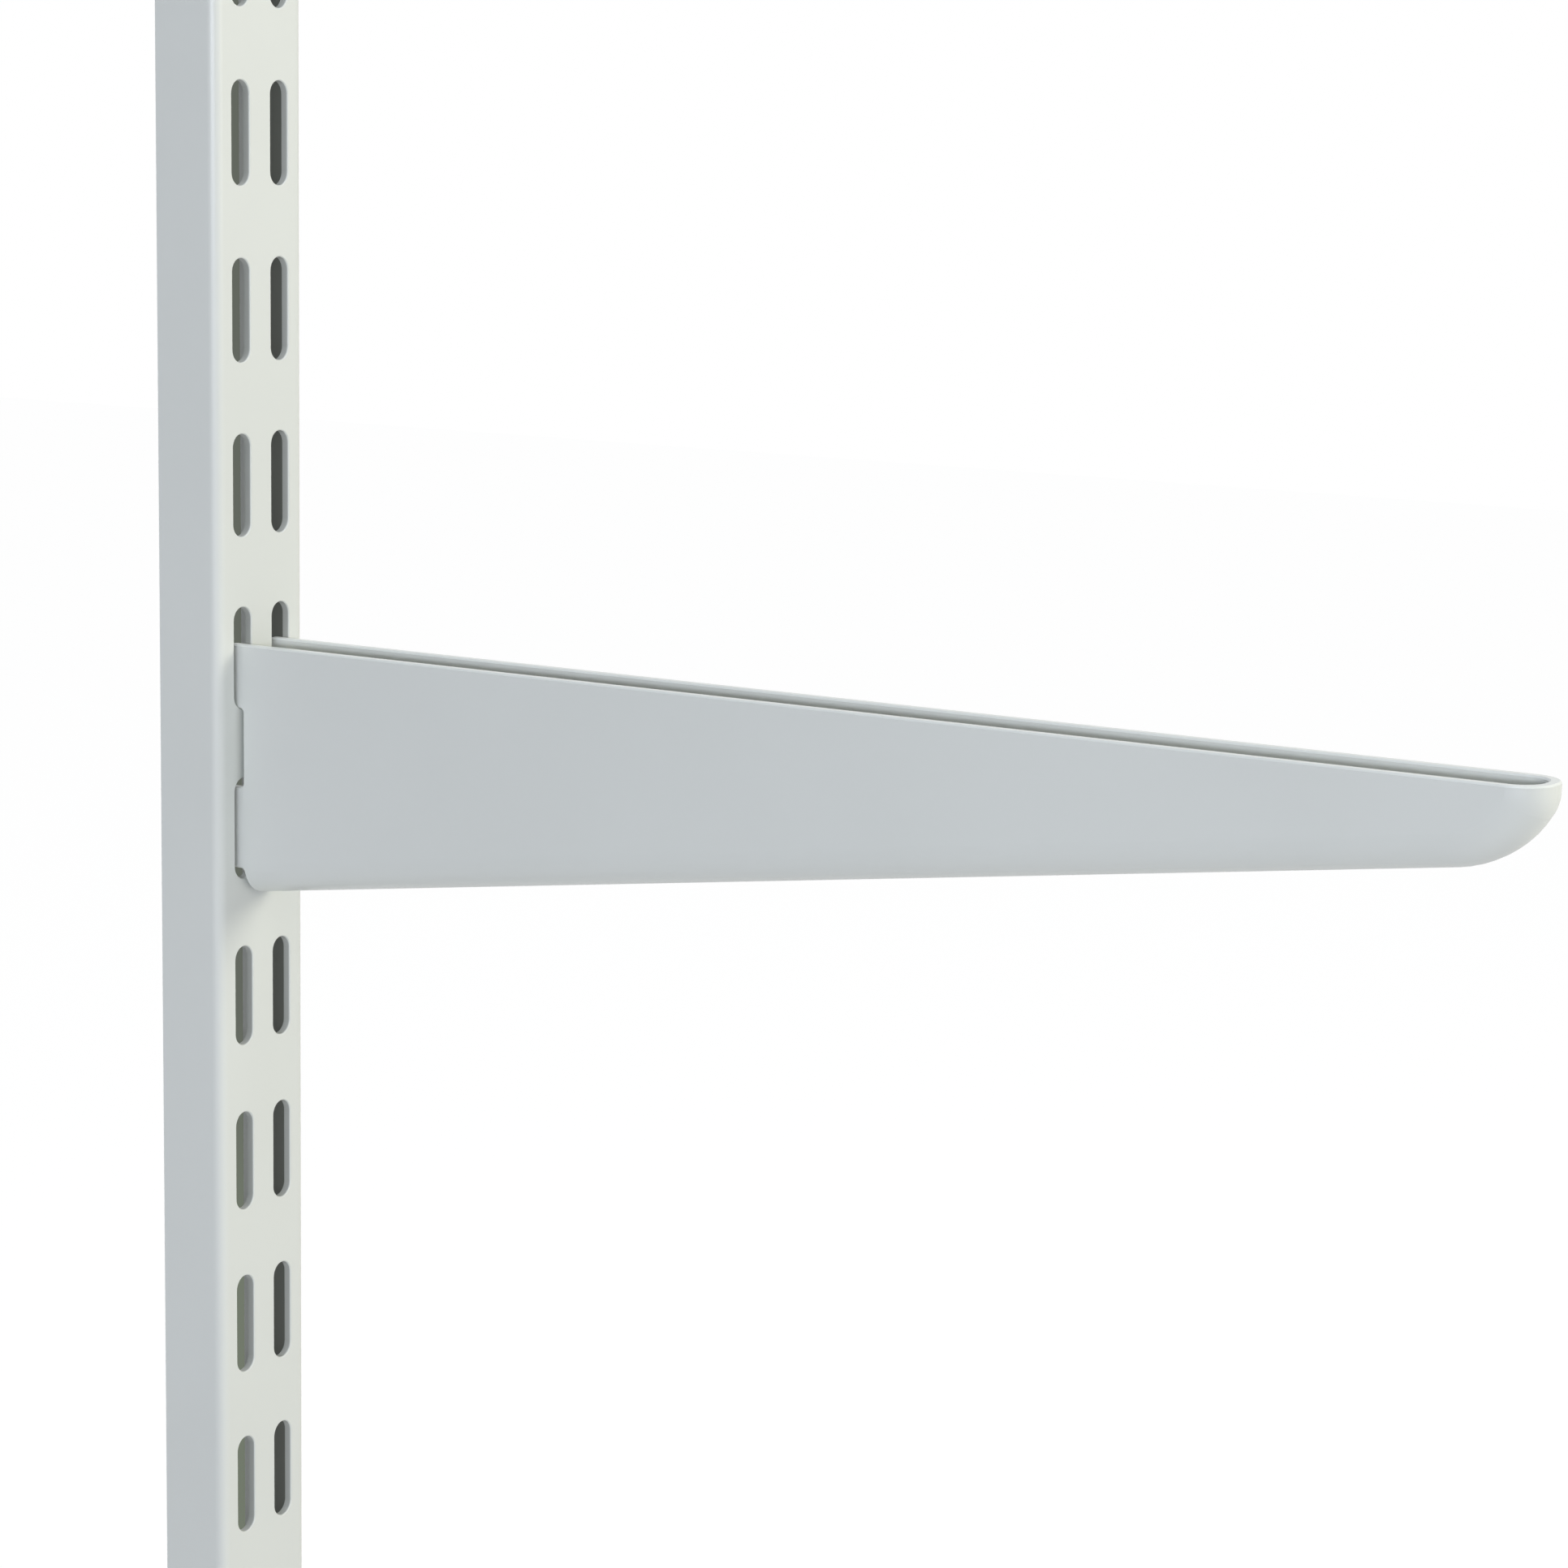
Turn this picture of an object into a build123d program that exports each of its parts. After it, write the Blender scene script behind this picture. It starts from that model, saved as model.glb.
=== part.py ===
# A slotted wall upright of a shelving set, with one shelf bracket hooked into it.
# Millimetres. X runs across the upright, -Y points out of the wall and Z is up.
# The face of the upright lies on Y = 0, its middle is X = 0, and Z = 0 is the
# centre of the middle row of slots, which takes the bracket's lower tabs.
import os
from math import cos, hypot, radians, sin, sqrt

from build123d import *

# Upright, one sheet folded into a channel that is open towards the wall
rail_width = 25.0
rail_depth = 14.0
rail_sheet = 1.5
rail_bend = 2.0
slot_rows = 13
slot_pitch = 32.0
slot_height = 19.0
slot_width = 5.0
slot_spacing = 11.0
slot_ease = 0.15
end_margin = 23.0
screw_hole = 5.2
screw_sink = 6.0
screw_sink_angle = 90.0

# Bracket, one sheet folded into a trough with a pressed round nose
slot_play = 1.25
arm_sheet = 2.0
arm_reach = 254.0
arm_bend = 6.0
edge_ease = 0.3
arm_rise = 12.15
root_depth = 47.4
tip_depth = 12.6
face_depth = 3.6
chin_angle = 60.0
nose_margin = 1.2
nose_share = 0.98

# Hooks and tabs, cut from the back edge of each side of the trough
seat_clearance = 0.05
hook_gap = 0.3
hook_drop = 6.0
hook_thickness = 3.6
hook_slant = 0.8
hook_crown = 4.0
hook_corner = 1.0
tab_clearance = 1.6
tab_height = 15.3
tab_length = 4.5
back_relief = 0.85
relief_corner = 0.8

# How near two positions count as the same one when edges are picked
same_place = 0.001


def slot_rise(off_centre):
    """How high the round end of a slot has climbed this far off the slot's middle."""
    return slot_end - sqrt(slot_end**2 - off_centre**2)


rail_length = (slot_rows - 1) * slot_pitch + 2 * end_margin
screw_spacing = (slot_rows - 2) * slot_pitch
cut_depth = 2 * rail_sheet
slot_end = slot_width / 2
slot_foot = slot_pitch - slot_height / 2

# Each side of the bracket passes through one column of slots, with the same play
# between its outer face and the slot's outer edge on both flanks.
half_arm = slot_spacing / 2 + slot_end - slot_play
inner_half = half_arm - arm_sheet
arm_top = slot_foot + arm_rise

# The hook sits on the round lower end of its slot, a little above the very bottom. One
# of the two corners of the chamfer on the hook's outer edge touches it first.
off_centre = slot_end - slot_play
end_rise = max(slot_rise(off_centre) - edge_ease, slot_rise(off_centre - edge_ease))
hook_seat = slot_foot + end_rise + seat_clearance
hook_front = rail_sheet + hook_gap
hook_back = hook_front + hook_thickness
hook_tip = hook_seat - hook_drop
tab_top = slot_height / 2 - tab_clearance
tab_bottom = tab_top - tab_height


def meet(first, second):
    """Where two straight edges cross, each given by its outward normal and distance."""
    (ny, nz, reach), (my, mz, far) = first, second
    across = ny * mz - nz * my
    return (reach * mz - far * nz) / across, (ny * far - my * reach) / across


def edge_through(point, normal, inset):
    """A straight edge through a point, moved inwards by the inset."""
    y, z = point
    ny, nz = normal
    return ny, nz, y * ny + z * nz - inset


def back_edge(y):
    """The upright line that closes the side view at the back."""
    return 1, 0, y


def trough_edges(inset):
    """Underside, chin and front of the trough in side view, moved inwards."""
    slope = (root_depth - tip_depth) / arm_reach
    run = hypot(slope, 1)
    chin = radians(chin_angle)
    front_foot = (-arm_reach, arm_top - face_depth)
    underside = edge_through((0, arm_top - root_depth), (-slope / run, -1 / run), inset)
    chin_edge = edge_through(front_foot, (-sin(chin), -cos(chin)), inset)
    front = edge_through(front_foot, (-1, 0), inset)
    return underside, chin_edge, front


def turn_tangent(first, second):
    """Tangent of half the turn between two edges, for the length of a round corner."""
    cosine = first[0] * second[0] + first[1] * second[1]
    return sqrt((1 - cosine) / (1 + cosine))


def nose_radii():
    """Radii of the heel and the chin, whose arcs together take up the chin edge."""
    underside, chin_edge, front = trough_edges(0)
    heel_y, heel_z = meet(underside, chin_edge)
    chin_y, chin_z = meet(chin_edge, front)
    chin_length = hypot(heel_y - chin_y, heel_z - chin_z)
    chin_radius = arm_bend + nose_margin
    spare = chin_length - chin_radius * turn_tangent(chin_edge, front)
    return nose_share * spare / turn_tangent(underside, chin_edge), chin_radius


def low_edges(block, half_width, back, top):
    """The edges along the underside and round the nose, on both flanks of a block."""
    return [
        edge
        for edge in block.edges()
        if abs(abs(edge.center().X) - half_width) < same_place
        and edge.center().Y < back - same_place
        and edge.center().Z < top - same_place
    ]


heel_radius, chin_radius = nose_radii()

os.makedirs("parts", exist_ok=True)

# The upright's section is the outer line of the sheet, given its thickness inwards.
with BuildPart() as upright:
    with BuildSketch(Plane.XY.offset(-rail_length / 2)):
        with BuildLine():
            FilletPolyline(
                (-rail_width / 2, rail_depth),
                (-rail_width / 2, 0),
                (rail_width / 2, 0),
                (rail_width / 2, rail_depth),
                radius=rail_bend,
            )
            offset(amount=rail_sheet, side=Side.LEFT)
        make_face()
    extrude(amount=rail_length)
    with BuildSketch(Plane.XZ):
        with GridLocations(slot_spacing, slot_pitch, 2, slot_rows):
            SlotOverall(slot_height, slot_width, rotation=90)
    extrude(amount=-cut_depth, mode=Mode.SUBTRACT)
    face = upright.faces().sort_by(Axis.Y)[0]
    chamfer([edge for slot in face.inner_wires() for edge in slot.edges()], slot_ease)
    with Locations(Plane.XZ):
        with GridLocations(0, screw_spacing, 1, 2):
            CounterSinkHole(screw_hole / 2, screw_sink / 2, cut_depth, screw_sink_angle)

upright.part.label = "slotted_upright"
export_step(upright.part, "parts/slotted_upright.step")

# The hollow of the bracket is its outer form moved inwards by the sheet. It runs out
# over the top and past the hooks, so that each side keeps its own hook and tab.
above = arm_top + arm_sheet
behind = hook_back + arm_sheet
with BuildPart() as hollow:
    floor, inner_chin, inner_front = trough_edges(arm_sheet)
    floor_end = meet(floor, back_edge(behind))
    front_top = (arm_sheet - arm_reach, above)
    with BuildSketch(Plane.YZ):
        with BuildLine():
            FilletPolyline(
                floor_end,
                meet(floor, inner_chin),
                meet(inner_chin, inner_front),
                front_top,
                radius=[heel_radius - arm_sheet, chin_radius - arm_sheet],
            )
            Polyline(front_top, (behind, above), floor_end)
        make_face()
    extrude(amount=inner_half, both=True)
    fillet(low_edges(hollow, inner_half, behind, above), arm_bend - arm_sheet)

# The bracket is its outline in side view, hooks and tabs included, as wide as the
# trough, rounded along its underside and nose and then hollowed from above.
with BuildPart() as bracket:
    underside, chin_edge, front = trough_edges(0)
    back_foot = meet(underside, back_edge(-back_relief))
    front_top = (-arm_reach, arm_top)
    with BuildSketch(Plane.YZ):
        with BuildLine():
            FilletPolyline(
                back_foot,
                meet(underside, chin_edge),
                meet(chin_edge, front),
                front_top,
                radius=[heel_radius, chin_radius],
            )
            FilletPolyline(
                front_top,
                (hook_back, arm_top),
                (hook_back, hook_tip),
                (hook_front + hook_slant, hook_tip),
                (hook_front, hook_seat),
                (-back_relief, hook_seat),
                (-back_relief, tab_top),
                (tab_length, tab_top),
                (tab_length, tab_bottom),
                (-back_relief, tab_bottom),
                back_foot,
                radius=[
                    hook_crown,
                    hook_corner,
                    hook_corner,
                    hook_gap,
                    relief_corner,
                    relief_corner,
                    hook_corner,
                    hook_corner,
                    relief_corner,
                ],
            )
        make_face()
    extrude(amount=half_arm, both=True)
    fillet(low_edges(bracket, half_arm, -back_relief, arm_top), arm_bend)
    add(hollow.part, mode=Mode.SUBTRACT)
    # The chamfer of the rim runs on round the hooks and tabs, as the edges are tangent.
    rim = bracket.faces().filter_by(Plane.XY).sort_by(Axis.Z)[-1]
    chamfer(rim.edges().filter_by(lambda edge: edge.center().Y < 0), edge_ease)

bracket.part.label = "shelf_bracket"
export_step(bracket.part, "parts/shelf_bracket.step")
print("arm width", 2 * half_arm, "arm top", round(arm_top, 3), "hook seat", round(hook_seat, 3))
print("heel radius", round(heel_radius, 2), "chin radius", round(chin_radius, 2))
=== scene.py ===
# %% [markdown]
# # A slotted wall upright and its shelf bracket
#
# This lesson dresses two folded sheets of painted steel: a length of slotted upright, as it
# is screwed to a wall, and the tapering shelf bracket that hooks into it. Their shapes come
# finished from the CAD frame, because a sheet-metal part is nothing but exact folds and
# punched edges. Geometry Nodes could repeat the 26 slots, but they are holes through the
# sheet that take real hooks, so they are punched in the CAD too. What is left for Blender is
# the finish: the paint, the light and the camera.

from math import radians

import bpy
from mathutils import Matrix, Vector


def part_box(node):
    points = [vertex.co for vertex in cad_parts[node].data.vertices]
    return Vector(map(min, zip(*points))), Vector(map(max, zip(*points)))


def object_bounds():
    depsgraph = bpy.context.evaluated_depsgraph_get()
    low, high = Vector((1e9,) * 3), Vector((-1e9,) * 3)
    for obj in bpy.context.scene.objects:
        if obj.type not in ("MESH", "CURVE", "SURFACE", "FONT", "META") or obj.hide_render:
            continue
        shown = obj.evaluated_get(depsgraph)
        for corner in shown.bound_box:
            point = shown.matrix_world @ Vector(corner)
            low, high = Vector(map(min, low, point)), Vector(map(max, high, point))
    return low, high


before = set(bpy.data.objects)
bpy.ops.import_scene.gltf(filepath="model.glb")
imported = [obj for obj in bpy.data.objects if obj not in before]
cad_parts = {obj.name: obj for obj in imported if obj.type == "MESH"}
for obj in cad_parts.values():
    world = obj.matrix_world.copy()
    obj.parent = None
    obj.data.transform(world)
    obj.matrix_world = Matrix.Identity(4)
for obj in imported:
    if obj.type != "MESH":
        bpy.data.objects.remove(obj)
cad_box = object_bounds()
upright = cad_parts["slotted_upright"]
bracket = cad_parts["shelf_bracket"]
upright_low, upright_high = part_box("slotted_upright")
bracket_low, bracket_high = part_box("shelf_bracket")
print("nodes", sorted(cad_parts), "size", [round(side, 3) for side in cad_box[1] - cad_box[0]])

# %% [markdown]
# ## Writing a shader as sums
#
# The finishes below depend on where a point lies on the part, and that is arithmetic. Nodes
# could be made and linked one by one, but then the sum is hard to see. This class wraps one
# output socket instead. Adding or multiplying it makes the Math node that does so, and it
# works from either side, so that `1 - mask` can be written as it is said.

# %% Shader sums
class Value:
    """One number or colour that the nodes work out, as something to calculate with."""

    def __init__(self, tree, socket):
        self.tree = tree
        self.socket = socket

    def maths(self, operation, first, second):
        return self.tree.node("ShaderNodeMath", {0: first, 1: second}, operation=operation)

    def __add__(self, other):
        return self.maths("ADD", self, other)

    def __mul__(self, other):
        return self.maths("MULTIPLY", self, other)

    def __sub__(self, other):
        return self.maths("SUBTRACT", self, other)

    def __rsub__(self, other):
        return self.maths("SUBTRACT", other, self)

    __radd__ = __add__
    __rmul__ = __mul__

    def larger(self, other):
        return self.maths("MAXIMUM", self, other)

    def rising(self, start, end):
        """0 up to the start, 1 from the end on, and smooth between them."""
        limits = {"Value": self, "From Min": start, "From Max": end}
        return self.tree.node("ShaderNodeMapRange", limits, interpolation_type="SMOOTHSTEP")

    def between(self, edge, softness):
        """1 as far as the edge on both sides of zero, and 0 a little beyond it."""
        return 1 - self.larger(0 - self).rising(edge, edge + softness)


print("shader sums are ready")

# %% [markdown]
# ## The node tree
#
# Noise, colours and the shaders themselves are no sums. Each takes a node of its own kind,
# with settings, and with values or links in its sockets. A line of code for each of these
# would do, but it would bury the finish under the making of it. So one method makes any
# node, and the few kinds that come back again and again have a short name.

# %% The node tree
noise_detail = 2


class Tree:
    """The node tree of a material or of the world, while it is being written."""

    def __init__(self, owner):
        owner.use_nodes = True
        self.nodes = owner.node_tree.nodes
        self.links = owner.node_tree.links

    def node(self, kind, sockets, output=0, **settings):
        """One node: its settings are set first, then the values or links of its sockets."""
        made = self.nodes.new(kind)
        for setting, value in settings.items():
            setattr(made, setting, value)
        for socket, value in sockets.items():
            self.feed(made, socket, value)
        return Value(self, made.outputs[output])

    def feed(self, node, socket, value):
        """Links a worked-out value to a socket, or sets a plain one on it."""
        if isinstance(value, Value):
            self.links.new(value.socket, node.inputs[socket])
        elif node.inputs[socket].type == "RGBA":
            node.inputs[socket].default_value = (*value, 1)
        else:
            node.inputs[socket].default_value = value

    def parts(self, vector):
        """The X, Y and Z of a worked-out vector, as three values."""
        return [self.node("ShaderNodeSeparateXYZ", {"Vector": vector}, output=axis) for axis in "XYZ"]

    def noise(self, place, bump_size):
        """Soft noise from 0 to 1, with bumps of about this size in metres."""
        sockets = {"Vector": place, "Scale": 1 / bump_size, "Detail": noise_detail}
        return self.node("ShaderNodeTexNoise", sockets)

    def blend(self, share, first, second):
        """The first colour, giving way to the second as the share rises to 1."""
        # A Mix node has sockets for each kind of data. 6, 7 and output 2 are the colours.
        sockets = {"Factor": share, 6: first, 7: second}
        return self.node("ShaderNodeMix", sockets, output=2, data_type="RGBA")


print("noise detail", noise_detail)

# %% [markdown]
# ## Powder paint
#
# Both pieces are coated with charged paint powder, which is blown on dry and then baked. It
# flows into a smooth satin skin with a faint orange peel, a touch uneven from place to
# place. The powder doesn't reach far into a narrow channel, so the skin is thin and dull
# there. The darker colour given to those recesses is partly that thin skin and partly
# painted shade. A plain colour would do from afar, and an image could carry the rest, but
# noise that reads the object's own coordinates has no seams and holds at every distance.
# One function makes the same pale grey for both, and each piece tells it where its own thin
# skin and painted shade go.

# %% The paint
full_skin = (0.75, 0.775, 0.745)
pale_skin = (0.765, 0.79, 0.76)
peel_size = 0.0012
peel_depth = 0.000012
peel_strength = 0.35
cloud_size = 0.05
cloud_edges = (0.35, 0.65)
paint_roughness = 0.36
cloud_dulling = 0.06
thin_dulling = 0.25
coat_weight = 0.15
coat_roughness = 0.2


def powder_paint(name, thin_and_shaded_colour, where_thin_and_shaded):
    """Baked powder paint: two near tones of the full skin, and a darker one in the recesses, partly
    thin skin and partly painted shade.
    """
    paint = bpy.data.materials.new(name)
    tree = Tree(paint)
    shader = tree.nodes["Principled BSDF"]
    place = tree.node("ShaderNodeTexCoord", {}, output="Object")
    normal = tree.node("ShaderNodeTexCoord", {}, output="Normal")
    clouds = tree.noise(place, cloud_size)
    thin_and_shaded_share = where_thin_and_shaded(tree.parts(place), tree.parts(normal))
    skin = tree.blend(clouds.rising(*cloud_edges), full_skin, pale_skin)
    # Recesses take a darker colour: thin paint, and painted shade.
    tree.feed(shader, "Base Color", tree.blend(thin_and_shaded_share, skin, thin_and_shaded_colour))
    dulling = cloud_dulling * clouds + thin_dulling * thin_and_shaded_share
    tree.feed(shader, "Roughness", paint_roughness + dulling)
    bumps = tree.noise(place, peel_size)
    peel = {"Strength": peel_strength, "Distance": peel_depth, "Height": bumps}
    tree.feed(shader, "Normal", tree.node("ShaderNodeBump", peel))
    tree.feed(shader, "Coat Weight", coat_weight)
    tree.feed(shader, "Coat Roughness", coat_roughness)
    return paint


def wear(node, paint):
    """Puts a finish in the material slot of a CAD node."""
    node.material_slots[0].material = paint
    print(node.name, "wears", paint.name)


print("peel", peel_size, "m wide and", peel_depth, "m deep")

# %% [markdown]
# ## The upright's finish
#
# Little powder gets inside the narrow channel, and a glance through a slot meets a dull dark
# grey, which is partly that thin skin and partly painted shade for the deep channel. The cut
# walls of the slots have half of it, and the flanges have less of it near the open back,
# where more light comes in. The mask could be painted on the mesh, but it is safer to read
# it off the section itself, which is only a few sums.

# %% Paint the upright
upright_sheet = 0.0015
side_softness = 0.2
cut_edge_share = 0.5
cut_edge_depths = (0.05, 0.3)
inside_depths = (1, 1.1)
open_back_share = 0.7
open_back_start = 0.4
# Dark grey inside the channel: thin paint and painted shade.
channel_thin_and_shaded_colour = (0.17, 0.18, 0.155)


def inside_channel(place, normal):
    """Share of thin paint and painted shade: 1 inside the channel, less at the cut edges and the open
    back, 0 on the outside.
    """
    x, y, z = place
    sheets_deep = y * (1 / upright_sheet)
    between_flanges = x.between(upright_high.x - upright_sheet, side_softness * upright_sheet)
    cut_edge = cut_edge_share * sheets_deep.rising(*cut_edge_depths)
    inside = (1 - cut_edge_share) * sheets_deep.rising(*inside_depths)
    open_back = open_back_share * y.rising(open_back_start * upright_high.y, upright_high.y)
    return between_flanges * (cut_edge + inside) * (1 - open_back)


wear(upright, powder_paint("upright_paint_and_painted_shade", channel_thin_and_shaded_colour, inside_channel))

# %% [markdown]
# ## The bracket's finish
#
# Down in the bracket's trough the paint gets thin as well, and its darker grey there is
# partly thin skin and partly painted shade. The rim that shows from the side is fully
# covered, so the mask only starts well below the rim. The place alone can't tell the inside
# of the fold from the outside, a sheet further down, so the normal does: inside, it looks up
# or inwards.

# %% Paint the bracket
bracket_sheet = 0.002
full_depth = 0.004
thin_depth = 0.012
turn_softness = 0.1
# Darker grey deep in the trough: thin paint and painted shade.
trough_thin_and_shaded_colour = (0.5, 0.51, 0.5)


def deep_in_trough(place, normal):
    """Share of thin paint and painted shade: 1 low down between the bracket's sides, and 0 near its
    rim and outside.
    """
    x, y, z = place
    across, along, up = normal
    trough_half = bracket_high.x - bracket_sheet
    below_rim = (bracket_high.z - z).rising(full_depth, thin_depth)
    between_sides = x.between(trough_half, side_softness * bracket_sheet)
    inwards = along + up - across * x * (1 / trough_half)
    return below_rim * between_sides * inwards.rising(-turn_softness, turn_softness)


wear(bracket, powder_paint("bracket_paint_and_painted_shade", trough_thin_and_shaded_colour, deep_in_trough))

# %% [markdown]
# ## The floor
#
# A catalogue picture has nothing but white behind the object. More light would whiten the
# floor, but it would wash the paint out as well. So the floor shows plain white to the
# camera and to reflections only, while all other light is reckoned with a calmer grey. A
# part of the floor's real shading is let through, so that the shadow stays.

# %% Floor
floor_gap = 0.12
floor_half = 4.0
floor_shade = 0.55
floor_roughness = 0.9
glow_strength = 1.1
glow_share = 0.88
white = (1.0, 1.0, 1.0)


def seen_white(tree):
    """1 for what the camera sees or a surface mirrors, 0 for light on its way about."""
    paths = ("Is Camera Ray", "Is Glossy Ray", "Is Transmission Ray")
    camera, glossy, through = (tree.node("ShaderNodeLightPath", {}, output=path) for path in paths)
    return camera.larger(glossy).larger(through)


def stage_sheet(name, corners, finish):
    """A flat piece of the stage, which isn't part of the object, from its four corners."""
    mesh = bpy.data.meshes.new(name)
    mesh.from_pydata(corners, [], [(0, 1, 2, 3)])
    mesh.materials.append(finish)
    sheet = bpy.data.objects.new(name, mesh)
    bpy.context.scene.collection.objects.link(sheet)
    return sheet


floor_paint = bpy.data.materials.new("floor_white")
tree = Tree(floor_paint)
matt = tree.nodes["Principled BSDF"]
tree.feed(matt, "Base Color", (floor_shade, floor_shade, floor_shade))
tree.feed(matt, "Roughness", floor_roughness)
glow = tree.node("ShaderNodeEmission", {"Color": white, "Strength": glow_strength})
share = seen_white(tree) * glow_share
mixed = tree.node("ShaderNodeMixShader", {0: share, 1: Value(tree, matt.outputs[0]), 2: glow})
tree.feed(tree.nodes["Material Output"], "Surface", mixed)

floor_z = cad_box[0].z - floor_gap
floor_corners = [
    (-floor_half, -floor_half, floor_z),
    (floor_half, -floor_half, floor_z),
    (floor_half, floor_half, floor_z),
    (-floor_half, floor_half, floor_z),
]
stage_sheet("floor", floor_corners, floor_paint)
print("floor at", round(floor_z, 3))

# %% [markdown]
# ## The studio round the part
#
# Above the floor, the world takes over the white. A backdrop sheet would do too, but it
# would hide the part from behind. The world is white for the camera and for reflections as
# well, and it gives the paint only a weak, slightly cool light, like that of a studio's
# walls.

# %% Studio world
ambient = (0.212, 0.22, 0.238)

world = bpy.data.worlds.new("studio")
bpy.context.scene.world = world
tree = Tree(world)
tree.feed(tree.nodes["Background"], "Color", tree.blend(seen_white(tree), ambient, white))
print("light from all sides", ambient)

# %% [markdown]
# ## The wall behind the slots
#
# On its wall the channel is closed at the back, and a look through a slot ends on wall in
# deep shade. A whole wall would show that, but it would also hide the part from behind. So a
# strip of shaded wall, a little narrower than the upright, stands in for it. It gets lighter
# towards the foot, as what shows through the photograph's slots does. Only the camera meets
# it, and only from the front, so that it takes no light away.

# %% Wall strip
strip_inset = 0.0008
strip_gap = 0.00005
dark_height = -0.03
pale_height = -0.1
dark_shade = (0.125, 0.137, 0.115)
pale_shade = (0.168, 0.192, 0.148)

strip_paint = bpy.data.materials.new("shaded_wall")
tree = Tree(strip_paint)
place = tree.node("ShaderNodeTexCoord", {}, output="Object")
x, y, z = tree.parts(place)
drop = (0 - z).rising(-dark_height, -pale_height)
# Painted shade: the wall glows with its shaded colour, lighter towards the foot, instead of being
# lit.
shade = tree.node("ShaderNodeEmission", {"Color": tree.blend(drop, dark_shade, pale_shade)})
clear = tree.node("ShaderNodeBsdfTransparent", {})
from_behind = tree.node("ShaderNodeNewGeometry", {}, output="Backfacing")
shown = tree.node("ShaderNodeMixShader", {0: from_behind, 1: shade, 2: clear})
tree.feed(tree.nodes["Material Output"], "Surface", shown)

strip_half = upright_high.x - strip_inset
strip_y = upright_high.y + strip_gap
strip_foot = upright_low.z + strip_inset
strip_head = upright_high.z - strip_inset
strip_corners = [
    (-strip_half, strip_y, strip_foot),
    (strip_half, strip_y, strip_foot),
    (strip_half, strip_y, strip_head),
    (-strip_half, strip_y, strip_head),
]
strip = stage_sheet("wall_strip", strip_corners, strip_paint)
strip.visible_shadow = False
strip.visible_diffuse = False
strip.visible_glossy = False
strip.visible_transmission = False
print("wall strip", round(2 * strip_half, 4), "wide at", round(strip_y, 5))

# %% [markdown]
# ## Four soft lamps
#
# The photograph's light can be read off its surfaces. The upright's face is the palest, and
# the bracket's soft shadow lies to the left of it, so the key lamp stands in front and to
# the right. The flanks are evenly lit, and yet the trough shows a dark line along its rim.
# A long strip on the left does both: its light comes in lower than the camera looks, so the
# near side of the trough keeps it off the far one. A lamp straight above picks out the
# narrow top of the rim and hardly touches the faces beside it, and a weak one in front
# softens the shadow. What faces forwards looks warm and what faces sideways cool, in the
# one paint, so the two lamps in front are warm and the other two are cool. Sky light alone
# would be simpler, but it would flatten all of that.

# %% Lamps
warm = (1.0, 0.97, 0.835)
cool = (0.865, 0.905, 1.0)
middle_of_rim = Vector((0, bracket_low.y / 2, bracket_high.z))


def lamp(name, away, size, power, tint):
    """A soft rectangular lamp that looks at the rim and isn't seen itself."""
    light = bpy.data.lights.new(name, "AREA")
    light.shape = "RECTANGLE"
    light.size, light.size_y = size
    light.energy = power
    light.color = tint
    stand = bpy.data.objects.new(name, light)
    stand.location = middle_of_rim + Vector(away)
    aim = middle_of_rim - stand.location
    stand.rotation_euler = aim.to_track_quat("-Z", "Y").to_euler()
    stand.visible_camera = False
    bpy.context.scene.collection.objects.link(stand)
    print("lamp", name, "of", power, "W at", tuple(round(side, 3) for side in stand.location))


lamp("key", away=(0.62, -1.02, 0.5), size=(0.7, 0.5), power=9.4, tint=warm)
lamp("flank", away=(-1.6, -0.55, 0.17), size=(1.2, 0.12), power=12.5, tint=cool)
lamp("front", away=(-0.6, -1.6, 0.8), size=(0.8, 0.8), power=4.0, tint=warm)
lamp("top", away=(0, 0, 1.4), size=(0.5, 0.5), power=6.6, tint=cool)

# %% [markdown]
# ## The camera
#
# The photograph was taken with a long lens from the left, a little above the bracket. Such
# a camera can be placed by eye, but here the slots, which stand every 32 mm up the face,
# give its place and lens, so that the render can be laid over the photograph.

# %% Camera
camera_place = Vector((-0.5741, -0.4682, 0.1355))
turn = radians(-58.38)
tilt = radians(9.74)
roll = radians(1.08)
lens = 91.34
sensor = 36.0

camera = bpy.data.objects.new("camera", bpy.data.cameras.new("camera"))
camera.data.lens = lens
camera.data.sensor_width = sensor
upright_aim = Matrix.Rotation(turn, 4, "Z") @ Matrix.Rotation(radians(90) - tilt, 4, "X")
rolled_aim = upright_aim @ Matrix.Rotation(roll, 4, "Z")
camera.matrix_world = Matrix.Translation(camera_place) @ rolled_aim
bpy.context.scene.collection.objects.link(camera)
bpy.context.scene.camera = camera
bpy.context.scene.view_settings.view_transform = "Standard"
print("camera at", tuple(camera_place), "lens", lens)
